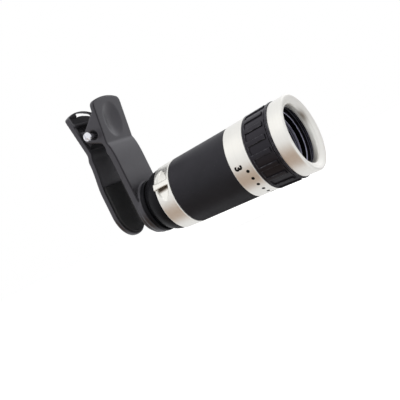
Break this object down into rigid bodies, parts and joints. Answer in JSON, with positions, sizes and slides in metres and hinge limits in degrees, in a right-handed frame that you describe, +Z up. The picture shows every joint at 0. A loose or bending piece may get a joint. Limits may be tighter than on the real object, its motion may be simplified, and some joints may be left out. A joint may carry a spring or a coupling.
{
  "type": "clip-on telescope lens",
  "caption": "Small focusing telescope on a sprung clip: two black arms with thumb grips and padded jaws, silver rings and a ribbed focus ring.",
  "frame": {"origin": "on the optical axis, on the gripping face of the front jaw pad, where the slab that the clip holds lies", "axes": "the telescope points along -Y, the thumb grips are up along +Z, X runs along the hinge pin, whose domed head is on the -X side"},
  "size_m": [0.0302, 0.082, 0.062],
  "materials": {
    "clip_plastic": "fine moulded texture, matte black",
    "pad_rubber": "soft matte",
    "pin_steel": "bright nickel plate",
    "spring_steel": "drawn wire",
    "housing_black": "semi-matte black",
    "barrel_black": "satin matte black",
    "ring_silver": "satin pearl silver",
    "tube_metal": "black anodised",
    "grip_black": "matte black",
    "cell_black": "matte black inside",
    "lens_glass": "coated, clear",
    "prism_glass": "polished",
    "seal_rubber": "greased"
  },
  "bodies": {
    "front_arm": {"front_arm": "clip_plastic", "front_jaw_pad": "pad_rubber", "pivot_pin": "pin_steel", "pin_nut": "pin_steel", "torsion_spring": "spring_steel"},
    "rear_arm": {"rear_arm": "clip_plastic", "rear_jaw_pad": "pad_rubber"},
    "telescope": {"eyepiece_housing": "housing_black", "eye_lens": "lens_glass", "lens_spacer": "tube_metal", "field_lens": "lens_glass", "eye_lens_ring": "tube_metal", "strap_ring": "ring_silver", "main_barrel": "barrel_black", "body_tube": "tube_metal", "prism_cage": "cell_black", "rear_prism": "prism_glass", "front_prism": "prism_glass", "prism_plate": "tube_metal", "scale_ring": "ring_silver", "friction_ring": "seal_rubber"},
    "focus_ring": {"focus_ring": "grip_black", "front_bezel": "ring_silver"},
    "objective_cell": {"objective_cell": "cell_black", "key_pin": "spring_steel", "flint_lens": "lens_glass", "crown_lens": "lens_glass", "objective_lens_ring": "tube_metal"}
  },
  "joints": [
    {"name": "jaw_hinge", "type": "hinge", "parent": "front_arm", "child": "rear_arm", "pos_m": [0, 0.0012, 0.0345], "axis": [1, 0, 0], "range_deg": [-11.5, 25], "stiffness_Nm_per_rad": 0.035, "springref_deg": -103.13, "deforming": ["torsion_spring"]},
    {"name": "lens_unscrew", "type": "slide", "parent": "front_arm", "child": "telescope", "axis": [0, -1, 0], "range_m": [0, 0.02]},
    {"name": "focus_turn", "type": "hinge", "parent": "telescope", "child": "focus_ring", "pos_m": [0, -0.06, 0], "axis": [0, -1, 0], "range_deg": [-120, 120]},
    {"name": "focus_slide", "type": "slide", "parent": "telescope", "child": "objective_cell", "axis": [0, -1, 0], "range_m": [-0.0016, 0.0016]}
  ],
  "couplings": [
    {"joint": "focus_turn", "follows": "focus_slide", "rad_per_m": 1308.9}
  ]
}
